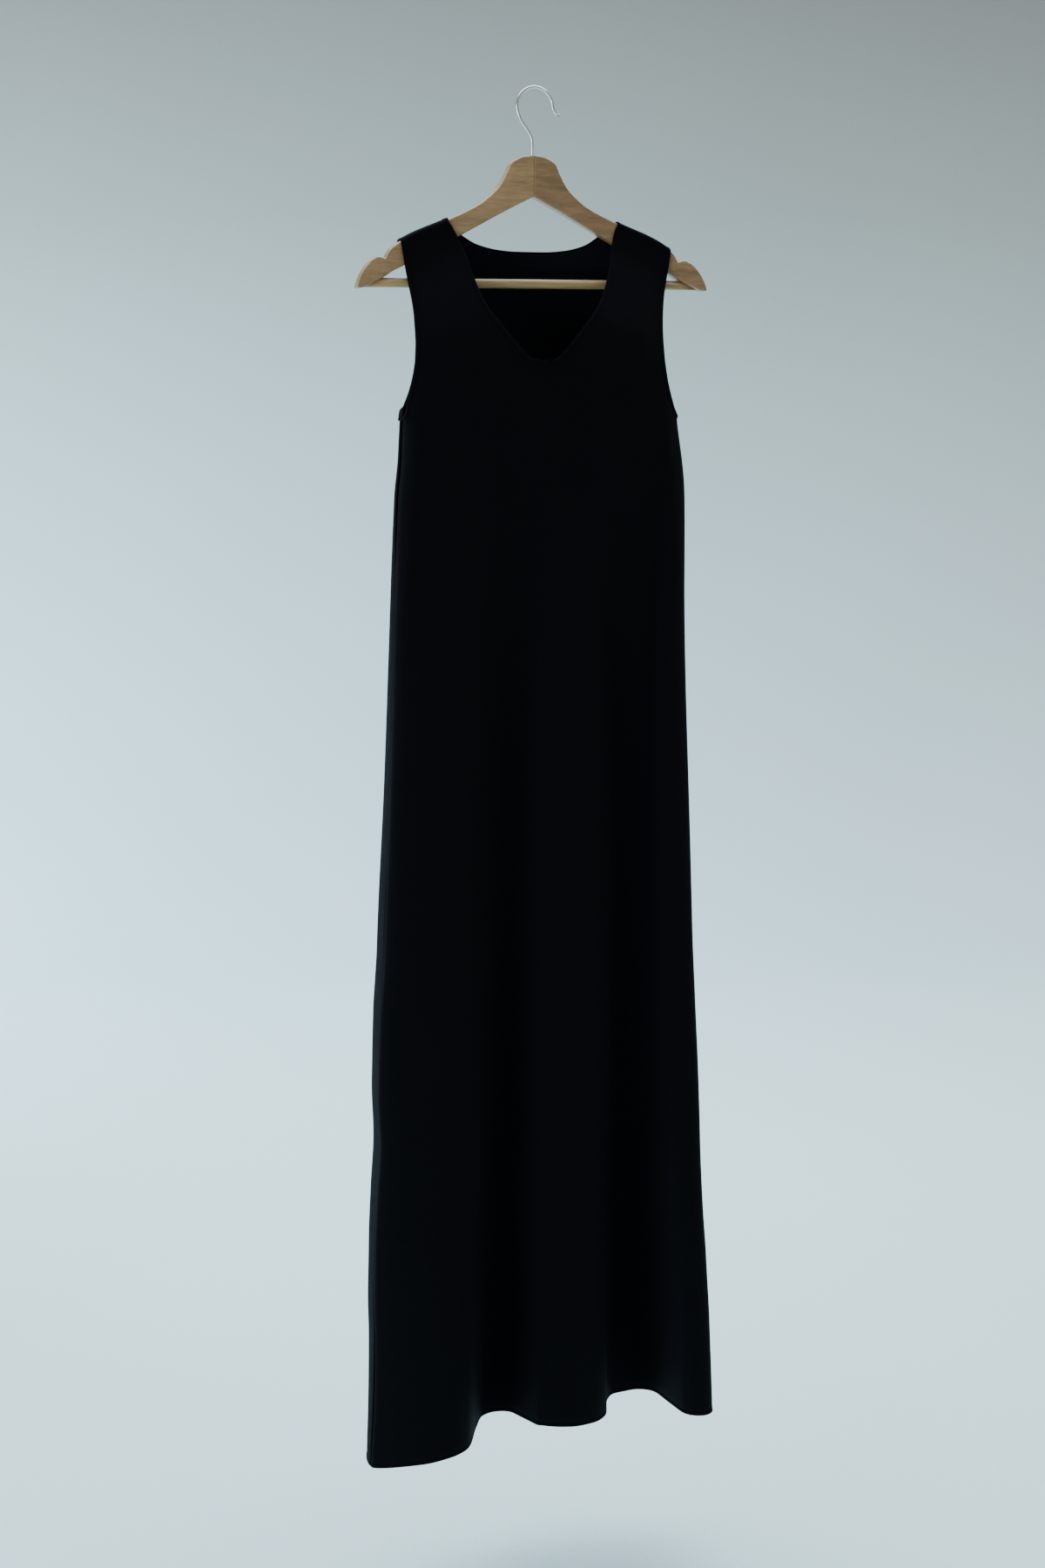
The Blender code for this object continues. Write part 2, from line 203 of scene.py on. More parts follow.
TUBE = (
    # drop, left, right, seam_y, back_squareness
    (0.293, 0.1655, 0.1670, -0.019, 2.0),
    (0.380, 0.1695, 0.1762, -0.021, 2.4),
    (0.500, 0.1740, 0.1775, -0.024, 3.2),
    (0.700, 0.1825, 0.1830, -0.030, 4.0),
    (0.900, 0.1935, 0.1895, -0.036, 4.2),
    (1.100, 0.2035, 0.1975, -0.042, 4.2),
    (1.300, 0.2110, 0.2055, -0.048, 3.4),
    (1.513, 0.2215, 0.2190, -0.053, 2.5),
)
# How far out the two side edges stray from the tube as they fall
SIDE_WAVES = (
    # drop, left, right
    (0.293, -0.0040, 0.0030),
    (0.336, -0.0037, 0.0034),
    (0.380, -0.0010, 0.0030),
    (0.500, 0.0000, 0.0010),
    (0.700, 0.0000, 0.0000),
    (0.900, 0.0005, 0.0008),
    (0.980, 0.0033, 0.0023),
    (1.060, 0.0028, 0.0030),
    (1.130, -0.0010, 0.0022),
    (1.190, 0.0018, 0.0012),
    (1.250, 0.0035, 0.0018),
    (1.310, 0.0033, 0.0035),
    (1.370, 0.0008, 0.0036),
    (1.430, 0.0000, 0.0020),
    (1.513, 0.0015, -0.0010),
)
# How the two armholes differ from the table
RIGHT_ARMHOLE_WIDER = 0.0028
LEFT_UNDERARM_NARROWER = 0.0065
LEFT_UNDERARM_START = 0.274
CHEST_FRONT = -0.047
CHEST_BACK = 0.036
FRONT_SQUARENESS = 4.0
# Where the cloth lies at the hem, from the left seam (place -1) to the right one (place 1)
FRONT_FOLDS = (
    # place, y
    (-1.00, -0.068),
    (-0.86, -0.072),
    (-0.73, -0.073),
    (-0.575, -0.066),
    (-0.465, -0.052),
    (-0.335, -0.002),
    (-0.25, 0.025),
    (-0.18, 0.030),
    (-0.11, 0.027),
    (-0.072, 0.019),
    (-0.050, -0.009),
    (-0.02, -0.018),
    (0.05, -0.030),
    (0.12, -0.037),
    (0.21, -0.042),
    (0.31, -0.040),
    (0.40, -0.028),
    (0.485, 0.012),
    (0.55, 0.027),
    (0.63, 0.030),
    (0.69, 0.032),
    (0.745, 0.029),
    (0.79, 0.019),
    (0.812, -0.018),
    (0.838, -0.056),
    (0.90, -0.071),
    (0.96, -0.077),
    (1.00, -0.077),
)
BACK_FOLDS = (
    # place, y
    (-1.00, 0.040),
    (-0.70, 0.046),
    (-0.54, 0.049),
    (-0.34, 0.071),
    (-0.18, 0.082),
    (-0.02, 0.073),
    (0.13, 0.055),
    (0.26, 0.050),
    (0.39, 0.056),
    (0.53, 0.077),
    (0.66, 0.084),
    (0.79, 0.077),
    (1.00, 0.050),
)
FOLD_ONSET = 0.07
FRONT_LEAN = (
    # share of the way down to the bust, share of the way out from the wood
    (0.00, 0.00),
    (0.15, 0.10),
    (0.30, 0.30),
    (0.55, 0.64),
    (0.80, 0.90),
    (1.00, 0.98),
    (1.20, 1.00),
    (1.50, 1.00),
)
LEAN_LENGTH = 0.143
STRAP_CONTACT = 0.010
NECK_EASE = 0.020

# Soft creases on top of the folds: each is a rounded ridge that fades at both ends
CREASES = (
    # front, top_x, top_drop, low_x, low_drop, half_width, height
    (True, -0.1430, 0.215, -0.1700, 0.560, 0.0065, 0.0020),
    (True, 0.1450, 0.240, 0.1700, 0.500, 0.0080, 0.0016),
    (True, -0.1180, 0.120, -0.0980, 0.330, 0.0150, 0.0012),
    (True, 0.1250, 0.125, 0.1030, 0.300, 0.0140, 0.0011),
    (True, -0.0560, 0.190, -0.0760, 0.420, 0.0160, 0.0010),
    (True, 0.0520, 0.190, 0.0610, 0.480, 0.0180, 0.0011),
    (True, -0.0900, 0.520, -0.1180, 1.100, 0.0140, 0.0012),
    (True, 0.0300, 0.480, 0.0420, 1.050, 0.0180, 0.0012),
    (True, 0.1120, 0.560, 0.1180, 1.200, 0.0120, -0.0014),
    (True, -0.0300, 0.640, -0.0340, 1.300, 0.0120, -0.0012),
    (False, -0.1280, 0.235, -0.1500, 0.540, 0.0090, 0.0020),
    (False, 0.1270, 0.225, 0.1520, 0.500, 0.0100, 0.0018),
    (False, -0.0700, 0.125, -0.0520, 0.360, 0.0180, 0.0012),
    (False, 0.0800, 0.130, 0.0560, 0.400, 0.0160, 0.0013),
    (False, -0.0330, 0.420, -0.0350, 1.150, 0.0160, 0.0014),
    (False, 0.1150, 0.500, 0.1300, 1.250, 0.0140, 0.0012),
    (False, 0.0420, 0.560, 0.0520, 1.280, 0.0150, -0.0014),
)

# Slow unevenness of the whole cloth
RIPPLES = (
    # waves_per_metre_across, waves_per_metre_down, phase, height
    (3.1, 0.9, 0.4, 0.00070),
    (5.3, -1.6, 2.1, 0.00050),
    (8.9, 2.3, 4.4, 0.00028),
    (13.7, -3.1, 1.3, 0.00016),
)

BACK_RIPPLE_PHASE = 1.9
CREASE_FADE = 3.5
RELIEF_START = 0.004
RELIEF_GROWTH = 0.05

SEAM_DIP = 0.0006
SEAM_DIP_WIDTH = 0.0016
FAR_FROM_SEAM = 1.0

# Narrow turned edge at neck, armholes and hem, and its row of stitches
EDGE_SPACING = 0.0025
EDGE_THICKNESS = 0.0026
EDGE_PROFILE = (
    # distance into the cloth, share of the half thickness
    (-0.0004, 0.00),
    (-0.0002, 0.70),
    (0.0004, 1.00),
    (0.0033, 1.00),
    (0.0040, 0.75),
    (0.0042, 0.00),
    (0.0040, -0.75),
    (0.0033, -1.00),
    (0.0004, -1.00),
    (-0.0002, -0.70),
)
STITCH_START = 0.002
STITCH_INSET = 0.0031
STITCH_LENGTH = 0.0023
STITCH_PITCH = 0.0033
STITCH_RADIUS = 0.00030
STITCH_SIDES = 6
STITCH_FLATNESS = 0.8
STITCH_LIFT = 0.4
STITCH_TIP_SINK = 0.3
STITCH_RINGS = (
    # share of the length, share of the radius
    (0.12, 0.75),
    (0.50, 1.00),
    (0.88, 0.75),
)

# Finishes
WALE_WIDTH = 0.0013
COURSE_HEIGHT = 0.0011
STITCH_SLANT = 0.9
# The knit's dark stop lies between the stitch legs as painted shade, the light one on them
OUTER_KNIT_DARK = (0.0004, 0.0005, 0.0010)
OUTER_KNIT_LIGHT = (0.0012, 0.0014, 0.0028)
# Painted light: the cloth's inside gets colours a few times lighter than its outside, standing in for
# light reaching the shaded inside
PAINTED_LIGHT_INNER_KNIT_DARK = (0.0030, 0.0034, 0.0050)
PAINTED_LIGHT_INNER_KNIT_LIGHT = (0.0060, 0.0066, 0.0100)
GRAIN_SLOPE = math.radians(26.0)
GRAIN_SCALE = (1.0, 9.0, 9.0)
PORE_SCALE = (60.0, 900.0, 900.0)
# Painted light and shade: the left arm's colours are a lighter copy of the right arm's, standing in for
# light from the left
LEFT_WOOD_PAINTED_LIT = (
    # share of the grain's noise, colour
    (0.30, (0.16, 0.085, 0.033)),
    (0.50, (0.27, 0.155, 0.066)),
    (0.70, (0.36, 0.215, 0.095)),
)
RIGHT_WOOD_PAINTED_SHADE = (
    # share of the grain's noise, colour
    (0.30, (0.12, 0.060, 0.023)),
    (0.50, (0.21, 0.115, 0.047)),
    (0.70, (0.29, 0.165, 0.070)),
)
BAR_WOOD = (
    # share of the grain's noise, colour
    (0.30, (0.20, 0.125, 0.048)),
    (0.50, (0.30, 0.195, 0.080)),
    (0.70, (0.38, 0.255, 0.110)),
)

# Floor and wall, both laid square to the camera's direction
WORLD_FLOOR = -1.78
WALL_BEHIND = 4.4
WALL_BEND = 1.6
WALL_HEIGHT = 4.0
FLOOR_FRONT = -9.0
BACKDROP_HALF_WIDTH = 9.0
BEND_STEPS = 32
# Painted shade on the backdrop: pale and bluish over the floor, then darker and warmer the higher up the
# wall
PAINTED_SHADE_LENGTH = 6.4
BACKDROP_PAINTED_SHADE = (
    # share of the way over the floor and up the wall, colour
    (0.00, (0.73, 0.93, 1.00)),
    (0.24, (0.73, 0.93, 1.00)),
    (0.42, (0.695, 0.875, 0.95)),
    (0.57, (0.560, 0.685, 0.750)),
    (0.67, (0.480, 0.568, 0.600)),
    (0.75, (0.410, 0.468, 0.488)),
    (0.826, (0.342, 0.378, 0.375)),
    (0.90, (0.272, 0.284, 0.274)),
    (1.00, (0.220, 0.213, 0.202)),
)
PLASTER_STRETCH = (1.0, 0.3, 0.55)
WORLD_COLOUR = (0.91, 0.89, 0.87, 1.0)
WORLD_STRENGTH = 0.52

VIEW_TURN = math.radians(20.0)
VIEW_DOWN = math.radians(9.68)
CAMERA_PLACE = (-0.8685, -2.3454, -0.3642)
CAMERA_LENS = 49.26
CAMERA_SENSOR = 36.0
CAMERA_CLIP_START = 0.05


def column(table, index):
    """One named column of a table, as an array."""
    return np.array([row[index] for row in table])


def curve_through(places, values):
    """A smooth function through the points that doesn't overshoot between them."""
    steps = np.diff(places)
    slopes = np.diff(values) / steps
    tangents = np.empty(len(places))
    tangents[0] = slopes[0]
    tangents[-1] = slopes[-1]
    for i in range(1, len(places) - 1):
        before = slopes[i - 1]
        after = slopes[i]
        if before * after <= 0.0:
            tangents[i] = 0.0
        else:
            first = 2.0 * steps[i] + steps[i - 1]
            second = steps[i] + 2.0 * steps[i - 1]
            tangents[i] = (first + second) / (first / before + second / after)

    def value_at(place):
        i = int(np.clip(np.searchsorted(places, place) - 1, 0, len(steps) - 1))
        length = steps[i]
        t = min(max((place - places[i]) / length, 0.0), 1.0)
        return (
            values[i] * (1.0 + 2.0 * t) * (1.0 - t) ** 2
            + tangents[i] * length * t * (1.0 - t) ** 2
            + values[i + 1] * t * t * (3.0 - 2.0 * t)
            + tangents[i + 1] * length * t * t * (t - 1.0)
        )

    return value_at


def mix(first, second, share):
    return first + (second - first) * share


def smooth_step(share):
    share = min(max(share, 0.0), 1.0)
    return share * share * (3.0 - 2.0 * share)


def placed(point):
    """A point below the block's top, with the hanger's slant, in the model's frame."""
    x, y, z = point
    faded = smooth_step((-z - TILT_FADE_START) / (TILT_FADE_END - TILT_FADE_START))
    z += TILT * (1.0 - faded) * x
    return (x + BLOCK_TOP[0], y + BLOCK_TOP[1], z + BLOCK_TOP[2])


sway = curve_through(column(SWAY, 0), column(SWAY, 1))
arm_top = curve_through(column(ARM_TOP, 0), column(ARM_TOP, 1))
arm_bottom = curve_through(column(ARM_BOTTOM, 0), column(ARM_BOTTOM, 1))
tube_left = curve_through(column(TUBE, 0), column(TUBE, 1))
tube_right = curve_through(column(TUBE, 0), column(TUBE, 2))
tube_seam_y = curve_through(column(TUBE, 0), column(TUBE, 3))
back_squareness = curve_through(column(TUBE, 0), column(TUBE, 4))
left_wave = curve_through(column(SIDE_WAVES, 0), column(SIDE_WAVES, 1))
right_wave = curve_through(column(SIDE_WAVES, 0), column(SIDE_WAVES, 2))
lean = curve_through(column(FRONT_LEAN, 0), column(FRONT_LEAN, 1))
front_fold = curve_through(column(FRONT_FOLDS, 0), column(FRONT_FOLDS, 1))
back_fold = curve_through(column(BACK_FOLDS, 0), column(BACK_FOLDS, 1))


# Shader helpers


def new_material(name):
    material = bpy.data.materials.new(name)
    material.use_nodes = True
    return material, material.node_tree.nodes, material.node_tree.links


def math_node(nodes, links, operation, first, second=None):
    node = nodes.new("ShaderNodeMath")
    node.operation = operation
    for i, value in enumerate((first, second)):
        if value is None:
            continue
        if isinstance(value, (int, float)):
            node.inputs[i].default_value = value
        else:
            links.new(value, node.inputs[i])
    return node.outputs[0]


def noise_node(nodes, links, vector, scale, detail, roughness=0.5):
    node = nodes.new("ShaderNodeTexNoise")
    node.inputs["Scale"].default_value = scale
    node.inputs["Detail"].default_value = detail
    node.inputs["Roughness"].default_value = roughness
    links.new(vector, node.inputs["Vector"])
    return node.outputs["Fac"]


def ramp_node(nodes, links, factor, stops):
    node = nodes.new("ShaderNodeValToRGB")
    elements = node.color_ramp.elements
    for element, (place, colour) in zip(elements, (stops[0], stops[-1])):
        element.position = place
        element.color = (*colour, 1.0)
    for place, colour in stops[1:-1]:
        elements.new(place).color = (*colour, 1.0)
    links.new(factor, node.inputs["Fac"])
    return node.outputs["Color"]


def bump_node(nodes, links, height, distance, strength, normal=None):
    node = nodes.new("ShaderNodeBump")
    node.inputs["Distance"].default_value = distance
    node.inputs["Strength"].default_value = strength
    links.new(height, node.inputs["Height"])
    if normal is not None:
        links.new(normal, node.inputs["Normal"])
    return node.outputs["Normal"]


def range_node(nodes, links, value, low, high, start=0.0, end=1.0):
    """A value that runs from low to high as the given one goes from start to end."""
    node = nodes.new("ShaderNodeMapRange")
    links.new(value, node.inputs["Value"])
    node.inputs["From Min"].default_value = start
    node.inputs["From Max"].default_value = end
    node.inputs["To Min"].default_value = low
    node.inputs["To Max"].default_value = high
    return node.outputs["Result"]


def object_node(nodes):
    """Places on the piece, in metres."""
    return nodes.new("ShaderNodeTexCoord").outputs["Object"]


def uv_node(nodes, links, layer):
    """The two coordinates of a mesh's UV layer."""
    place = nodes.new("ShaderNodeUVMap")
    place.uv_map = layer
    split = nodes.new("ShaderNodeSeparateXYZ")
    links.new(place.outputs["UV"], split.inputs["Vector"])
    return split.outputs["X"], split.outputs["Y"]


def mapping_node(nodes, links, vector, rotation, scale, location=(0.0, 0.0, 0.0)):
    """Places that are turned, stretched and moved before a texture reads them."""
    node = nodes.new("ShaderNodeMapping")
    node.inputs["Location"].default_value = location
    node.inputs["Rotation"].default_value = rotation
    node.inputs["Scale"].default_value = scale
    links.new(vector, node.inputs["Vector"])
    return node.outputs["Vector"]


def multiply_node(nodes, links, colour, shade, factor):
    """A colour, darkened by another."""
    node = nodes.new("ShaderNodeMix")
    node.data_type = "RGBA"
    node.blend_type = "MULTIPLY"
    node.inputs["Factor"].default_value = factor
    links.new(colour, node.inputs["A"])
    links.new(shade, node.inputs["B"])
    return node.outputs["Result"]


def knit_material(name, dark, light):
    """Fine black knit: columns of small V stitches with painted shade between their legs, and slight
    unevenness of colour and pile.
    """
    material, nodes, links = new_material(name)
    shader = nodes["Principled BSDF"]
    across, down = uv_node(nodes, links, "cloth")
    across = math_node(nodes, links, "DIVIDE", across, WALE_WIDTH)
    down = math_node(nodes, links, "DIVIDE", down, COURSE_HEIGHT)
    # distance from the middle of a column of stitches, 0 to 1
    in_wale = math_node(nodes, links, "PINGPONG", across, 0.5)
    in_wale = math_node(nodes, links, "MULTIPLY", in_wale, 2.0)
    slanted = math_node(nodes, links, "MULTIPLY", in_wale, STITCH_SLANT)
    slanted = math_node(nodes, links, "ADD", down, slanted)
    turn = math_node(nodes, links, "MULTIPLY", slanted, 2.0 * math.pi)
    legs = math_node(nodes, links, "SINE", turn)
    legs = range_node(nodes, links, legs, low=0.0, high=1.0, start=-1.0)
    arch = math_node(nodes, links, "MULTIPLY", in_wale, math.pi)
    arch = math_node(nodes, links, "SINE", arch)
    stitch = math_node(nodes, links, "MULTIPLY", legs, arch)
    metres = object_node(nodes)
    cloud = noise_node(nodes, links, metres, scale=14.0, detail=4.0)
    fuzz = noise_node(nodes, links, metres, scale=2600.0, detail=3.0, roughness=0.6)
    # Painted shade: the colour runs from the dark stop between the stitch legs to the light one on them,
    # as the bump does
    tone = ramp_node(nodes, links, stitch, ((0.0, dark), (1.0, light)))
    uneven = ramp_node(nodes, links, cloud, ((0.3, (0.6, 0.6, 0.62)), (0.7, (1.0, 1.0, 1.0))))
    links.new(multiply_node(nodes, links, tone, uneven, factor=0.5), shader.inputs["Base Color"])
    links.new(range_node(nodes, links, cloud, low=0.78, high=0.92), shader.inputs["Roughness"])
    rough = bump_node(nodes, links, fuzz, distance=0.00012, strength=0.5)
    ribbed = bump_node(nodes, links, stitch, distance=0.0004, strength=0.7, normal=rough)
    links.new(ribbed, shader.inputs["Normal"])
    shader.inputs["Specular IOR Level"].default_value = 0.06
    shader.inputs["Sheen Weight"].default_value = 0.006
    shader.inputs["Sheen Roughness"].default_value = 0.45
    shader.inputs["Sheen Tint"].default_value = (0.58, 0.66, 1.0, 1.0)
    return material


def wood_material(name, slope, stops, shift):
    """Varnished beech-like wood whose grain runs along one arm of the hanger."""
    material, nodes, links = new_material(name)
    shader = nodes["Principled BSDF"]
    metres = object_node(nodes)
    tilted = (0.0, slope, 0.0)
    moved = (shift, 0.3 * shift, 0.7 * shift)
    grain = mapping_node(nodes, links, metres, rotation=tilted, scale=GRAIN_SCALE, location=moved)
    broad = noise_node(nodes, links, grain, scale=9.0, detail=5.0, roughness=0.55)
    streak = noise_node(nodes, links, grain, scale=42.0, detail=6.0, roughness=0.65)
    pores = mapping_node(nodes, links, metres, rotation=tilted, scale=PORE_SCALE)
    pores = noise_node(nodes, links, pores, scale=1.0, detail=2.0)
    both = math_node(nodes, links, "MULTIPLY", streak, 0.55)
    part = math_node(nodes, links, "MULTIPLY", broad, 0.45)
    both = math_node(nodes, links, "ADD", both, part)
    tone = ramp_node(nodes, links, both, stops)
    flecks = ramp_node(nodes, links, pores, ((0.30, (0.55, 0.50, 0.45)), (0.42, (1.0, 1.0, 1.0))))
    links.new(multiply_node(nodes, links, tone, flecks, factor=0.45), shader.inputs["Base Color"])
    links.new(range_node(nodes, links, both, low=0.38, high=0.52), shader.inputs["Roughness"])
    fine = bump_node(nodes, links, pores, distance=0.00008, strength=0.35)
    grained = bump_node(nodes, links, streak, distance=0.00025, strength=0.25, normal=fine)
    links.new(grained, shader.inputs["Normal"])
    shader.inputs["Coat Weight"].default_value = 0.12
    shader.inputs["Coat Roughness"].default_value = 0.3
    return material


def wire_material(name):
    """Bright plated wire with faint drawing marks."""
    material, nodes, links = new_material(name)
    shader = nodes["Principled BSDF"]
    metres = object_node(nodes)
    marks = noise_node(nodes, links, metres, scale=900.0, detail=4.0, roughness=0.6)
    spots = noise_node(nodes, links, metres, scale=60.0, detail=3.0)
    tone = ramp_node(nodes, links, spots, ((0.3, (0.50, 0.52, 0.54)), (0.7, (0.66, 0.68, 0.70))))
    links.new(tone, shader.inputs["Base Color"])
    links.new(range_node(nodes, links, marks, low=0.14, high=0.30), shader.inputs["Roughness"])
    links.new(bump_node(nodes, links, marks, distance=0.00003, strength=0.3), shader.inputs["Normal"])
    shader.inputs["Metallic"].default_value = 1.0
    return material


def thread_material(name):
    """Black sewing thread, a little smoother than the knit."""
    material, nodes, links = new_material(name)
    shader = nodes["Principled BSDF"]
    ply = noise_node(nodes, links, object_node(nodes), scale=3000.0, detail=2.0)
    tone = ramp_node(nodes, links, ply, ((0.3, (0.003, 0.0035, 0.0045)), (0.7, (0.008, 0.009, 0.012))))
    links.new(tone, shader.inputs["Base Color"])
    links.new(range_node(nodes, links, ply, low=0.5, high=0.7), shader.inputs["Roughness"])
    links.new(bump_node(nodes, links, ply, distance=0.0001, strength=0.4), shader.inputs["Normal"])
    return material


def backdrop_material(name):
    """Pale plaster and floor, finely grained, a little uneven, with painted shade that darkens and warms
    it further up the wall.
    """
    material, nodes, links = new_material(name)
    shader = nodes["Principled BSDF"]
    metres = object_node(nodes)
    cloud = noise_node(nodes, links, metres, scale=1.4, detail=4.0)
    grit = mapping_node(nodes, links, metres, rotation=(0.0, 0.0, VIEW_TURN), scale=PLASTER_STRETCH)
    grit = noise_node(nodes, links, grit, scale=260.0, detail=4.0, roughness=0.6)
    _, length = uv_node(nodes, links, "length")
    rise = range_node(nodes, links, length, low=0.0, high=1.0, end=PAINTED_SHADE_LENGTH)
    # painted shade: the colour darkens and warms with the length along the floor and up the wall
    tone = ramp_node(nodes, links, rise, BACKDROP_PAINTED_SHADE)
    speckle = math_node(nodes, links, "MULTIPLY", grit, 0.35)
    speckle = math_node(nodes, links, "ADD", speckle, math_node(nodes, links, "MULTIPLY", cloud, 0.65))
    mottle = ramp_node(nodes, links, speckle, ((0.3, (0.95, 0.95, 0.955)), (0.7, (1.0, 1.0, 1.0))))
    links.new(multiply_node(nodes, links, tone, mottle, factor=1.0), shader.inputs["Base Color"])
    links.new(bump_node(nodes, links, grit, distance=0.0012, strength=0.45), shader.inputs["Normal"])
    shader.inputs["Roughness"].default_value = 0.9
    shader.inputs["Specular IOR Level"].default_value = 0.1
    return material


def mesh_object(name, bm, material):
    """A smooth-shaded object with one material."""
    mesh = bpy.data.meshes.new(name)
    bm.to_mesh(mesh)
    bm.free()
    mesh.materials.append(material)
    for polygon in mesh.polygons:
        polygon.use_smooth = True
    obj = bpy.data.objects.new(name, mesh)
    bpy.context.scene.collection.objects.link(obj)
    return obj


def add_mesh(name, bm, material):
    """A piece that rides on the part's one body."""
    obj = mesh_object(name, bm, material)
    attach(obj, "root")
    return obj


def skin(bm, rings):
    """Faces between rings of equal numbers of points."""
    for near, far in zip(rings, rings[1:]):
        for i in range(len(near)):
            j = (i + 1) % len(near)
            bm.faces.new((near[i], near[j], far[j], far[i]))


# Wooden hanger


def arm_middle_y(across):
    """Where the middle of the wood lies: each arm goes back from the joint, then curves forward."""
    across = abs(across)
    return across * math.tan(ARM_SWEEP_BACK) - across * across / (2.0 * ARM_CURVE_RADIUS)


def arm_section(across, side):
    """Points of the wood's cross-section, with rounded corners."""
    top = arm_top(across)
    bottom = arm_bottom(across)
    radius = min(WOOD_EDGE_RADIUS, TIP_EDGE_SHARE * (top - bottom))
    half = WOOD_THICKNESS / 2.0
    middle = arm_middle_y(across)
    corners = (
        (half - radius, top - radius),
        (-half + radius, top - radius),
        (-half + radius, bottom + radius),
        (half - radius, bottom + radius),
    )
    points = []
    for quarter, (corner_y, corner_z) in enumerate(corners):
        for step in range(ARM_CORNER_STEPS + 1):
            angle = (quarter + step / ARM_CORNER_STEPS) * math.pi / 2.0
            y = middle + corner_y + radius * math.cos(angle)
            z = corner_z + radius * math.sin(angle)
            points.append((side * across, y, z))
    return points


def arm_stations():
    """Places along the arm: even ones, and every point of its upper contour."""
    contour = column(ARM_TOP, 0)
    even = np.linspace(WOOD_JOINT_GAP / 2.0, contour[-1], ARM_STATIONS)
    return np.sort(np.append(even, contour[1:-1]))


def make_arm(name, side, node, material):
    bm = bmesh.new()
    rings = []
    for across in arm_stations():
        rings.append([bm.verts.new(placed(point)) for point in arm_section(across, side)])
    skin(bm, rings)
    for ring, share in ((rings[0], JOINT_CAP_SHARE), (rings[-1], TIP_CAP_SHARE)):
        middle = sum((v.co for v in ring), Vector()) / len(ring)
        inner = [bm.verts.new(middle.lerp(v.co, share)) for v in ring]
        for i in range(len(ring)):
            j = (i + 1) % len(ring)
            bm.faces.new((ring[i], ring[j], inner[j], inner[i]))
        bm.faces.new(inner)
    bmesh.ops.recalc_face_normals(bm, faces=bm.faces[:])
    arm = add_mesh(name, bm, material)
    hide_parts(node)
    return arm


def bar_end(height):
    """How far out the bar runs at a height, into the arm's sloping underside."""
    across = column(ARM_BOTTOM, 0)
    up = column(ARM_BOTTOM, 1)
    return float(np.interp(-height, -up, across))


def make_bar(material):
    bm = bmesh.new()
    rings = []
    for place in np.linspace(-1.0, 1.0, BAR_STATIONS):
        ring = []
        for i in range(BAR_SIDES):
            angle = 2.0 * math.pi * (i + 0.5) / BAR_SIDES
            z = BAR_HEIGHT + 0.5 * BAR_DIAMETER * math.sin(angle)
            y = -BAR_FORWARD + 0.5 * BAR_DIAMETER * math.cos(angle)
            ring.append(bm.verts.new(placed((place * bar_end(z), y, z))))
        rings.append(ring)
    skin(bm, rings)
    bm.faces.new(rings[0])
    bm.faces.new(rings[-1])
    bmesh.ops.recalc_face_normals(bm, faces=bm.faces[:])
    bar = add_mesh("trouser_bar", bm, material)
    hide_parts("hanger_bar")
    return bar


# Wire hook


def hook_path():
    """Middle line of the wire, smoothed by cutting its corners."""
    centre_z = HOOK_TOP - HOOK_RADIUS
    points = [(0.0, WOOD_JOINT_GAP), (0.0, SHANK_STRAIGHT), *HOOK_BEND]
    for angle in np.linspace(HOOK_ARC_START, 0.0, HOOK_ARC_STEPS + 1):
        x = HOOK_OFFSET + HOOK_RADIUS * math.cos(angle)
        points.append((x, centre_z + HOOK_RADIUS * math.sin(angle)))
    points += HOOK_TIP
    path = np.array([(x, 0.0, z) for x, z in points])
    for _ in range(HOOK_SMOOTHINGS):
        near = 0.75 * path[:-1] + 0.25 * path[1:]
        far = 0.25 * path[:-1] + 0.75 * path[1:]
        cut = np.empty((2 * len(near), 3))
        cut[0::2] = near
        cut[1::2] = far
        path = np.vstack([path[:1], cut, path[-1:]])
    return path + np.array(BLOCK_TOP)


def make_hook(material):
    """The wire, with a rounded tip."""
    path = hook_path()
    radius = WIRE_DIAMETER / 2.0
    tangents = np.gradient(path, axis=0)
    tangents /= np.linalg.norm(tangents, axis=1)[:, None]
    stations = [(point, tangent, radius) for point, tangent in zip(path, tangents)]
    tip, along_tip, _ = stations.pop()
    for angle in np.linspace(0.0, WIRE_TIP_ANGLE, WIRE_TIP_STEPS):
        back = radius * (1.0 - math.sin(angle))
        stations.append((tip - along_tip * back, along_tip, radius * math.cos(angle)))
    bm = bmesh.new()
    rings = []
    for point, tangent, size in stations:
        side = np.array((0.0, 1.0, 0.0))
        up = np.cross(tangent, side)
        ring = []
        for i in range(WIRE_SIDES):
            angle = 2.0 * math.pi * i / WIRE_SIDES
            offset = math.cos(angle) * side + math.sin(angle) * up
            ring.append(bm.verts.new(point + size * offset))
        rings.append(ring)
    skin(bm, rings)
    bm.faces.new(rings[0])
    bm.faces.new(rings[-1])
    bmesh.ops.recalc_face_normals(bm, faces=bm.faces[:])
    hook = add_mesh("hook_wire", bm, material)
    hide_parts("hanger_hook")
    return hook


# Dress: the model's form, sampled more finely, with rounder folds and unevener side edges


def fold_growth(drop):
    """How far the folds have opened at a height, from 0 at the underarm to 1 at the hem."""
    t = max((drop - UNDERARM_DROP) / (HEM_DROP - UNDERARM_DROP), 0.0)
    grown = t - FOLD_ONSET * (1.0 - math.exp(-t / FOLD_ONSET))
    return grown / (1.0 - FOLD_ONSET * (1.0 - math.exp(-1.0 / FOLD_ONSET)))


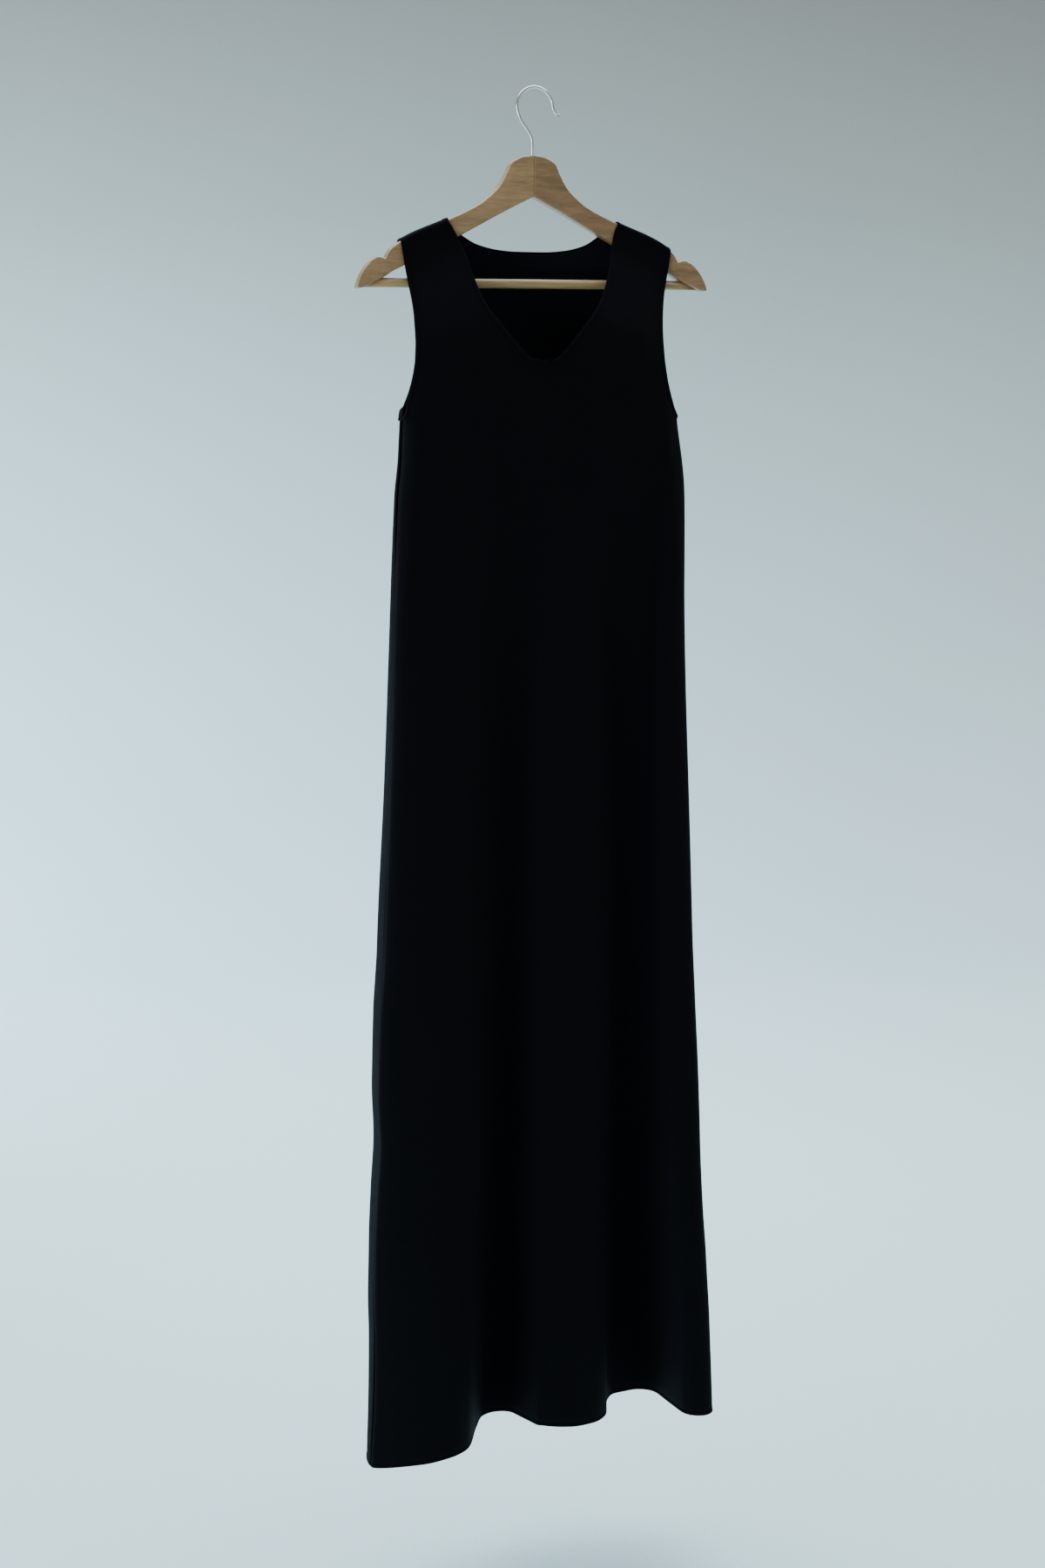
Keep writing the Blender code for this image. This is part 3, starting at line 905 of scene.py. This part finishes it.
def half_section(drop, side, is_front):
    """Points of one panel at a height, from its middle to the left (-1) or right (1) seam."""
    growth = fold_growth(drop)
    seam_y = tube_seam_y(drop)
    if side < 0.0:
        width = tube_left(drop) + left_wave(drop)
    else:
        width = tube_right(drop) + right_wave(drop)
    chest = CHEST_FRONT if is_front else CHEST_BACK
    fold = front_fold if is_front else back_fold
    power = FRONT_SQUARENESS if is_front else back_squareness(drop)
    points = []
    for angle in np.linspace(0.0, math.pi / 2.0, SECTION_SAMPLES):
        place = side * math.sin(angle) ** (2.0 / power)
        crown = math.cos(angle) ** (2.0 / power)
        level = mix(chest, fold(place), growth)
        points.append((place * width, mix(seam_y, level, crown)))
    return np.array(points)


def line_lengths(points):
    steps = np.linalg.norm(np.diff(points, axis=0), axis=1)
    return np.append(0.0, np.cumsum(steps))


def along(points, shares):
    """Points at given shares of a line's length."""
    length = line_lengths(points)
    wanted = np.asarray(shares) * length[-1]
    return np.array([np.interp(wanted, length, points[:, i]) for i in range(2)]).T


def share_within(distance, points):
    """Share of a half panel's cloth that lies within a distance of the middle."""
    length = line_lengths(points)
    return float(np.interp(distance, np.abs(points[:, 0]), length) / length[-1])


def column_shares():
    """Where the columns of a half panel lie: even ones, then closer towards its edge."""
    return np.append(np.linspace(0.0, LAST_EVEN_SHARE, EVEN_COLUMNS), EDGE_SHARES)


def strap_point(x, run, is_front):
    """A point of the strap, a length of cloth down from the shoulder seam on top of the wood."""
    towards = -1.0 if is_front else 1.0
    stand_off = CLOTH_CLEARANCE + CLOTH / 2.0
    turn = WOOD_EDGE_RADIUS + stand_off
    level = WOOD_THICKNESS / 2.0 - WOOD_EDGE_RADIUS
    top = arm_top(abs(x))
    middle = arm_middle_y(x)
    if run <= level:
        return (x, middle + towards * run, top + stand_off)
    angle = (run - level) / turn
    y = middle + towards * (level + turn * math.sin(angle))
    return (x, y, top - WOOD_EDGE_RADIUS + turn * math.cos(angle))


def place_on_wood(across):
    """Where the wood that bears a point of cloth lies: straight above it, or inside the neck."""
    inside = NECK_HALF_WIDTH - across
    if inside <= 0.0:
        return across
    eased = max(1.0 - inside / (2.0 * NECK_EASE), 0.0)
    return NECK_HALF_WIDTH - NECK_EASE * (1.0 - eased * eased)


def upper_point(x, bust_y, drop, is_front):
    """A point of the panel between the wood and the underarm."""
    near_wood = place_on_wood(abs(x))
    towards = -1.0 if is_front else 1.0
    stand_off = WOOD_THICKNESS / 2.0 + CLOTH_CLEARANCE + CLOTH / 2.0
    wood_y = arm_middle_y(near_wood) + towards * stand_off
    below = drop + arm_top(near_wood) - STRAP_CONTACT
    share = lean(below / LEAN_LENGTH)
    return (x, mix(wood_y, bust_y, share), -drop)


def edge_curve(table, width_column):
    """A smooth edge line as (half width, drop), sampled evenly in its length."""
    places = line_lengths(np.array([(row[width_column], row[0]) for row in table]))
    width_at = curve_through(places, column(table, width_column))
    drop_at = curve_through(places, column(table, 0))
    even = np.linspace(0.0, places[-1], SECTION_SAMPLES)
    return np.array([(width_at(place), drop_at(place)) for place in even])


def upper_rows(side, is_front):
    """Inner and outer end of each row above the underarm, as (half width, drop)."""
    neck = edge_curve(FRONT_NECK if is_front else BACK_NECK, 1)
    arm = edge_curve(ARMHOLE, 1 if is_front else 2)
    if side > 0.0:
        arm[:, 0] += RIGHT_ARMHOLE_WIDER
    else:
        shares = (arm[:, 1] - LEFT_UNDERARM_START) / (UNDERARM_DROP - LEFT_UNDERARM_START)
        arm[:, 0] -= LEFT_UNDERARM_NARROWER * np.array([smooth_step(share) for share in shares])
    turn = FRONT_NECK_SHARE if is_front else BACK_NECK_SHARE
    closing_in = 1.0 - (1.0 - np.linspace(0.0, 1.0, NECK_ROWS + 1)) ** NECK_ROW_CROWDING
    neck_ends = along(neck, closing_in)
    centre_drops = np.linspace(neck[-1, 1], UNDERARM_DROP - CENTRE_RISE, CENTRE_ROWS + 1)
    centre_ends = np.array([(0.0, drop) for drop in centre_drops])
    inner = np.concatenate([neck_ends, centre_ends[1:]])
    arm_shares = np.append(turn * closing_in, np.linspace(turn, 1.0, CENTRE_ROWS + 1)[1:])
    return inner[1:], along(arm, arm_shares)[1:]


def half_panel_rows(side, is_front):
    """Rows of (point, cloth coordinates, distance to a seam) of one half panel, from its top down."""
    shares = column_shares()
    towards = -1.0 if is_front else 1.0
    seam_shift = towards * SEAM_GAP / 2.0
    strap_end = STRAP_END + (RIGHT_ARMHOLE_WIDER if side > 0.0 else 0.0)
    rows = []
    wrap_length = WOOD_THICKNESS / 2.0 - WOOD_EDGE_RADIUS
    wrap_length += (WOOD_EDGE_RADIUS + CLOTH_CLEARANCE + CLOTH / 2.0) * math.pi / 2.0
    for run in np.linspace(SEAM_GAP / 2.0, wrap_length, WRAP_ROWS):
        row = []
        for across in mix(NECK_HALF_WIDTH, strap_end, shares):
            x = side * across + sway(-arm_top(across))
            place = (x, run - wrap_length - arm_top(across))
            row.append((strap_point(x, run, is_front), place, run))
        rows.append(row)
    section = half_section(UNDERARM_DROP, side, is_front)
    total = line_lengths(section)[-1]
    inner, outer = upper_rows(side, is_front)
    for (in_x, in_drop), (out_x, out_drop) in zip(inner, outer):
        spans = mix(share_within(in_x, section), share_within(out_x, section), shares)
        row = []
        for share, span, (x, bust_y) in zip(shares, spans, along(section, spans)):
            drop = mix(in_drop, out_drop, share)
            point = upper_point(x + sway(drop), bust_y, drop, is_front)
            row.append((point, (side * span * total, drop), FAR_FROM_SEAM))
        rows.append(row)
    (x, y, z), place, _ = rows[-1][-1]
    rows[-1][-1] = ((x, y + seam_shift, z), place, 0.0)
    for drop in np.linspace(UNDERARM_DROP, HEM_DROP, LEVEL_ROWS + 1)[1:]:
        section = half_section(drop, side, is_front)
        total = line_lengths(section)[-1]
        row = []
        for share, (x, y) in zip(shares, along(section, shares)):
            shift = seam_shift if share == 1.0 else 0.0
            row.append(((x, y + shift, -drop), (side * share * total, drop), (1.0 - share) * total))
        rows.append(row)
    return rows


def relief(x, drop, to_seam, is_front):
    """How far the cloth stands out from its main form."""
    height = 0.0
    for front, top_x, top_drop, low_x, low_drop, half_width, rise in CREASES:
        if front != is_front:
            continue
        t = (drop - top_drop) / (low_drop - top_drop)
        if t <= 0.0 or t >= 1.0:
            continue
        fade = smooth_step(min(t, 1.0 - t) * CREASE_FADE)
        off = (x - mix(top_x, low_x, t)) / half_width
        height += rise * fade * math.exp(-off * off)
    for across, down, phase, rise in RIPPLES:
        turn = 2.0 * math.pi * (across * x + down * drop) + phase
        height += rise * math.sin(turn + (0.0 if is_front else BACK_RIPPLE_PHASE))
    below_wood = drop + arm_top(min(abs(x), ARM_TOP[-1][0]))
    height *= smooth_step((below_wood - RELIEF_START) / RELIEF_GROWTH)
    return height - SEAM_DIP * math.exp(-((to_seam / SEAM_DIP_WIDTH) ** 2))


def make_panel(name, node, is_front, material, inside_painted_light_material):
    """One panel's mesh, and the lines of points along its neck, armholes and hem."""
    bm = bmesh.new()
    layer = bm.loops.layers.uv.new("cloth")
    facts = {}
    middle = {}
    grids = {}
    join_row = WRAP_ROWS + NECK_ROWS - 1

    def vertex(entry):
        point, place, to_seam = entry
        v = bm.verts.new(placed(point))
        facts[v] = (point[0], -point[2], place, to_seam)
        return v

    for side in (-1.0, 1.0):
        grid = []
        for i, row in enumerate(half_panel_rows(side, is_front)):
            line = [vertex(entry) for entry in row[1:]]
            if i < join_row:
                line.insert(0, vertex(row[0]))
            else:
                if i not in middle:
                    middle[i] = vertex(row[0])
                line.insert(0, middle[i])
            grid.append(line)
        grids[side] = grid
        flip = (side > 0.0) == is_front
        for upper, lower in zip(grid, grid[1:]):
            for k in range(len(upper) - 1):
                corners = [upper[k], upper[k + 1], lower[k + 1], lower[k]]
                bm.faces.new(corners[::-1] if flip else corners)
    for face in bm.faces:
        for loop in face.loops:
            loop[layer].uv = facts[loop.vert][2]
    bm.normal_update()
    moves = []
    for v in bm.verts:
        x, drop, _, to_seam = facts[v]
        moves.append(v.normal * relief(x, drop, to_seam, is_front))
    for v, move in zip(bm.verts, moves):
        v.co += move
    bm.normal_update()

    def line(vertices):
        return [(v.co.copy(), v.normal.copy(), facts[v][2]) for v in vertices]

    left = grids[-1.0]
    right = grids[1.0]
    underarm = WRAP_ROWS + NECK_ROWS + CENTRE_ROWS
    lines = {
        "neck": line([row[0] for row in left[:join_row]] + [row[0] for row in right[join_row::-1]]),
        "armhole_left": line([row[-1] for row in left[:underarm]]),
        "armhole_right": line([row[-1] for row in right[:underarm]]),
        "hem": line(left[-1][::-1] + right[-1][1:]),
    }
    panel = add_mesh(name, bm, material)
    wall = panel.modifiers.new("cloth_wall", "SOLIDIFY")
    wall.thickness = CLOTH
    wall.offset = 0.0
    # The inside faces take the second, lighter knit: painted light
    panel.data.materials.append(inside_painted_light_material)
    wall.material_offset = 1
    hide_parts(node)
    return panel, lines


def interpolate(wanted, length, values):
    """Each column of the values, at the wanted lengths."""
    return np.array([np.interp(wanted, length, values[:, i]) for i in range(values.shape[1])]).T


def even_line(line):
    """The same line, with its points at an even spacing."""
    points, normals, places = (np.array([tuple(entry[i]) for entry in line]) for i in range(3))
    length = line_lengths(points)
    wanted = np.linspace(0.0, length[-1], round(length[-1] / EDGE_SPACING) + 1)
    points = interpolate(wanted, length, points)
    normals = interpolate(wanted, length, normals)
    places = interpolate(wanted, length, places)
    return [(Vector(p), Vector(n).normalized(), tuple(uv)) for p, n, uv in zip(points, normals, places)]


def edge_frames(line, inward_sign):
    """For each point of an edge: the point, the direction into the cloth, its normal and its place."""
    frames = []
    for i, (point, normal, place) in enumerate(line):
        before = line[max(i - 1, 0)][0]
        after = line[min(i + 1, len(line) - 1)][0]
        tangent = (after - before).normalized()
        into = normal.cross(tangent).normalized() * inward_sign
        frames.append((point, into, into.cross(tangent).normalized() * inward_sign, place))
    return frames


def add_turned_edge(bm, layer, frames):
    """A narrow doubled edge along a line: a flat rounded bead that holds the cloth's rim."""
    rings = []
    for point, into, normal, place in frames:
        ring = []
        for inset, share in EDGE_PROFILE:
            v = bm.verts.new(point + into * inset + normal * (share * EDGE_THICKNESS / 2.0))
            ring.append((v, (place[0] + inset, place[1] + inset)))
        rings.append(ring)
    count = len(EDGE_PROFILE)
    faces = []
    for first, second in zip(rings, rings[1:]):
        for i in range(count):
            j = (i + 1) % count
            corners = (first[i], first[j], second[j], second[i])
            faces.append((bm.faces.new([v for v, _ in corners]), corners))
    for ring in (rings[0], rings[-1]):
        faces.append((bm.faces.new([v for v, _ in ring]), ring))
    for face, corners in faces:
        for loop, (_, place) in zip(face.loops, corners):
            loop[layer].uv = place


def add_stitches(bm, frames):
    """A row of small thread stitches that sit on the outside of a turned edge."""
    places = line_lengths(np.array([point for point, _, _, _ in frames]))
    points = np.array(
        [point + into * STITCH_INSET + normal * EDGE_THICKNESS / 2.0 for point, into, normal, _ in frames]
    )
    normals = np.array([normal for _, _, normal, _ in frames])
    for start in np.arange(STITCH_START, places[-1] - STITCH_LENGTH, STITCH_PITCH):
        stops = [start, start + STITCH_LENGTH / 2.0, start + STITCH_LENGTH]
        first, _, last = (Vector(point) for point in interpolate(stops, places, points))
        up = Vector(interpolate(stops, places, normals)[1]).normalized()
        across = (last - first).normalized().cross(up).normalized()
        rings = []
        for share, size in STITCH_RINGS:
            centre = first.lerp(last, share) + up * (STITCH_LIFT * STITCH_RADIUS * size)
            ring = []
            for k in range(STITCH_SIDES):
                angle = 2.0 * math.pi * k / STITCH_SIDES
                offset = across * math.cos(angle) + up * math.sin(angle) * STITCH_FLATNESS
                ring.append(bm.verts.new(centre + offset * STITCH_RADIUS * size))
            rings.append(ring)
        tips = [bm.verts.new(end - up * STITCH_TIP_SINK * STITCH_RADIUS) for end in (first, last)]
        skin(bm, rings)
        for k in range(STITCH_SIDES):
            j = (k + 1) % STITCH_SIDES
            bm.faces.new((rings[0][j], rings[0][k], tips[0]))
            bm.faces.new((rings[-1][k], rings[-1][j], tips[1]))


def make_trim(name, lines, is_front, edge_material, stitch_material):
    """The turned edges of one panel, and their stitches."""
    edges = bmesh.new()
    layer = edges.loops.layers.uv.new("cloth")
    threads = bmesh.new()
    signs = {"neck": -1.0, "armhole_left": 1.0, "armhole_right": -1.0, "hem": -1.0}
    for key, line in lines.items():
        sign = signs[key] if is_front else -signs[key]
        frames = edge_frames(even_line(line), sign)
        add_turned_edge(edges, layer, frames)
        add_stitches(threads, frames)
    bmesh.ops.recalc_face_normals(edges, faces=edges.faces[:])
    bmesh.ops.recalc_face_normals(threads, faces=threads.faces[:])
    edge = add_mesh(name + "_edges", edges, edge_material)
    stitches = add_mesh(name + "_stitches", threads, stitch_material)
    return [edge, stitches]


# Floor, wall, light and camera


def turned(right, depth, z):
    """A point with its place across and along the camera's direction turned into the model's frame."""
    x = right * math.cos(VIEW_TURN) + depth * math.sin(VIEW_TURN)
    y = depth * math.cos(VIEW_TURN) - right * math.sin(VIEW_TURN)
    return (x, y, z)


def in_view(right, depth, z):
    """A point given by how far it lies to the right of the camera's axis and in front of the camera."""
    x, y, _ = turned(right, depth, z)
    return (CAMERA_PLACE[0] + x, CAMERA_PLACE[1] + y, z)


def make_backdrop():
    """A pale floor that turns up into a wall behind the dress, with its length kept for the painted shade
    along it.
    """
    bm = bmesh.new()
    layer = bm.loops.layers.uv.new("length")
    start = WALL_BEHIND - WALL_BEND
    profile = [(FLOOR_FRONT, WORLD_FLOOR, FLOOR_FRONT), (start, WORLD_FLOOR, start)]
    for step in range(1, BEND_STEPS + 1):
        angle = step / BEND_STEPS * math.pi / 2.0
        y = start + WALL_BEND * math.sin(angle)
        profile.append((y, WORLD_FLOOR + WALL_BEND * (1.0 - math.cos(angle)), start + WALL_BEND * angle))
    rise = WALL_HEIGHT - WALL_BEND
    profile.append((WALL_BEHIND, WORLD_FLOOR + WALL_HEIGHT, profile[-1][2] + rise))
    rows = []
    for right in (-BACKDROP_HALF_WIDTH, BACKDROP_HALF_WIDTH):
        rows.append([bm.verts.new(turned(right, y, z)) for y, z, _ in profile])
    lengths = [length for _, _, length in profile]
    for k in range(len(profile) - 1):
        face = bm.faces.new((rows[0][k], rows[1][k], rows[1][k + 1], rows[0][k + 1]))
        for loop, length in zip(face.loops, (lengths[k], lengths[k], lengths[k + 1], lengths[k + 1])):
            loop[layer].uv = (0.0, length)
    backdrop = mesh_object("backdrop", bm, backdrop_material("pale_backdrop"))


def add_light(name, place, target, size, power, colour, spread):
    light = bpy.data.lights.new(name, "AREA")
    light.shape = "RECTANGLE"
    light.size, light.size_y = size
    light.energy = power
    light.color = colour
    light.spread = math.radians(spread)
    obj = bpy.data.objects.new(name, light)
    obj.location = place
    obj.rotation_euler = (Vector(target) - Vector(place)).to_track_quat("-Z", "Y").to_euler()
    bpy.context.scene.collection.objects.link(obj)


LIGHTS = (
    # name, place, target, size, power, colour, spread in degrees
    (
        "window_left",
        in_view(-2.7, 0.8, -0.4),
        (0.1, 0.6, -1.1),
        (2.4, 2.0),
        80.0,
        (0.66, 0.90, 1.0),
        180.0,
    ),
    (
        "wash_left",
        in_view(-3.4, 4.6, -0.3),
        in_view(-0.9, 6.9, -0.7),
        (1.8, 1.8),
        175.0,
        (0.62, 0.88, 1.0),
        150.0,
    ),
    (
        "wash_right",
        in_view(3.4, 4.6, -0.3),
        in_view(-0.2, 6.9, -0.7),
        (1.8, 1.8),
        20.0,
        (1.0, 0.84, 0.68),
        180.0,
    ),
    (
        "overhead",
        in_view(0.0, 3.6, 1.9),
        in_view(0.0, 3.5, WORLD_FLOOR),
        (4.0, 3.0),
        230.0,
        (0.79, 0.95, 1.0),
        180.0,
    ),
    (
        "low_fill",
        in_view(-2.2, -0.2, -1.3),
        in_view(0.7, 2.5, -1.4),
        (1.5, 1.2),
        12.0,
        (0.70, 0.82, 1.0),
        60.0,
    ),
)


def make_studio():
    make_backdrop()
    for values in LIGHTS:
        add_light(*values)
    world = bpy.data.worlds.new("studio")
    world.use_nodes = True
    background = world.node_tree.nodes["Background"]
    background.inputs["Color"].default_value = WORLD_COLOUR
    background.inputs["Strength"].default_value = WORLD_STRENGTH
    bpy.context.scene.world = world
    camera = bpy.data.cameras.new("camera")
    camera.lens = CAMERA_LENS
    camera.sensor_width = CAMERA_SENSOR
    camera.clip_start = CAMERA_CLIP_START
    obj = bpy.data.objects.new("camera", camera)
    obj.location = CAMERA_PLACE
    obj.rotation_euler = (math.pi / 2.0 - VIEW_DOWN, 0.0, -VIEW_TURN)
    bpy.context.scene.collection.objects.link(obj)
    bpy.context.scene.camera = obj


make_studio()

# One wood, painted lighter on the left arm and darker on the right for the light from the left
make_arm("wood_left", -1.0, "hanger_left", wood_material("wood_left", -GRAIN_SLOPE, LEFT_WOOD_PAINTED_LIT, 1.3))
make_arm("wood_right", 1.0, "hanger_right", wood_material("wood_right", GRAIN_SLOPE, RIGHT_WOOD_PAINTED_SHADE, 4.1))
make_bar(wood_material("wood_bar", 0.0, BAR_WOOD, 7.7))
make_hook(wire_material("hook_plating"))

knit = knit_material("black_knit", OUTER_KNIT_DARK, OUTER_KNIT_LIGHT)
# The inside faces get the lighter knit, as painted light
knit_inside_painted_light = knit_material("black_knit_inside_painted_light", PAINTED_LIGHT_INNER_KNIT_DARK, PAINTED_LIGHT_INNER_KNIT_LIGHT)
thread = thread_material("black_thread")
front, front_lines = make_panel("front_cloth", "dress_front", True, knit, knit_inside_painted_light)
front_trim = make_trim("front", front_lines, True, knit, thread)
back, back_lines = make_panel("back_cloth", "dress_back", False, knit, knit_inside_painted_light)
back_trim = make_trim("back", back_lines, False, knit, thread)
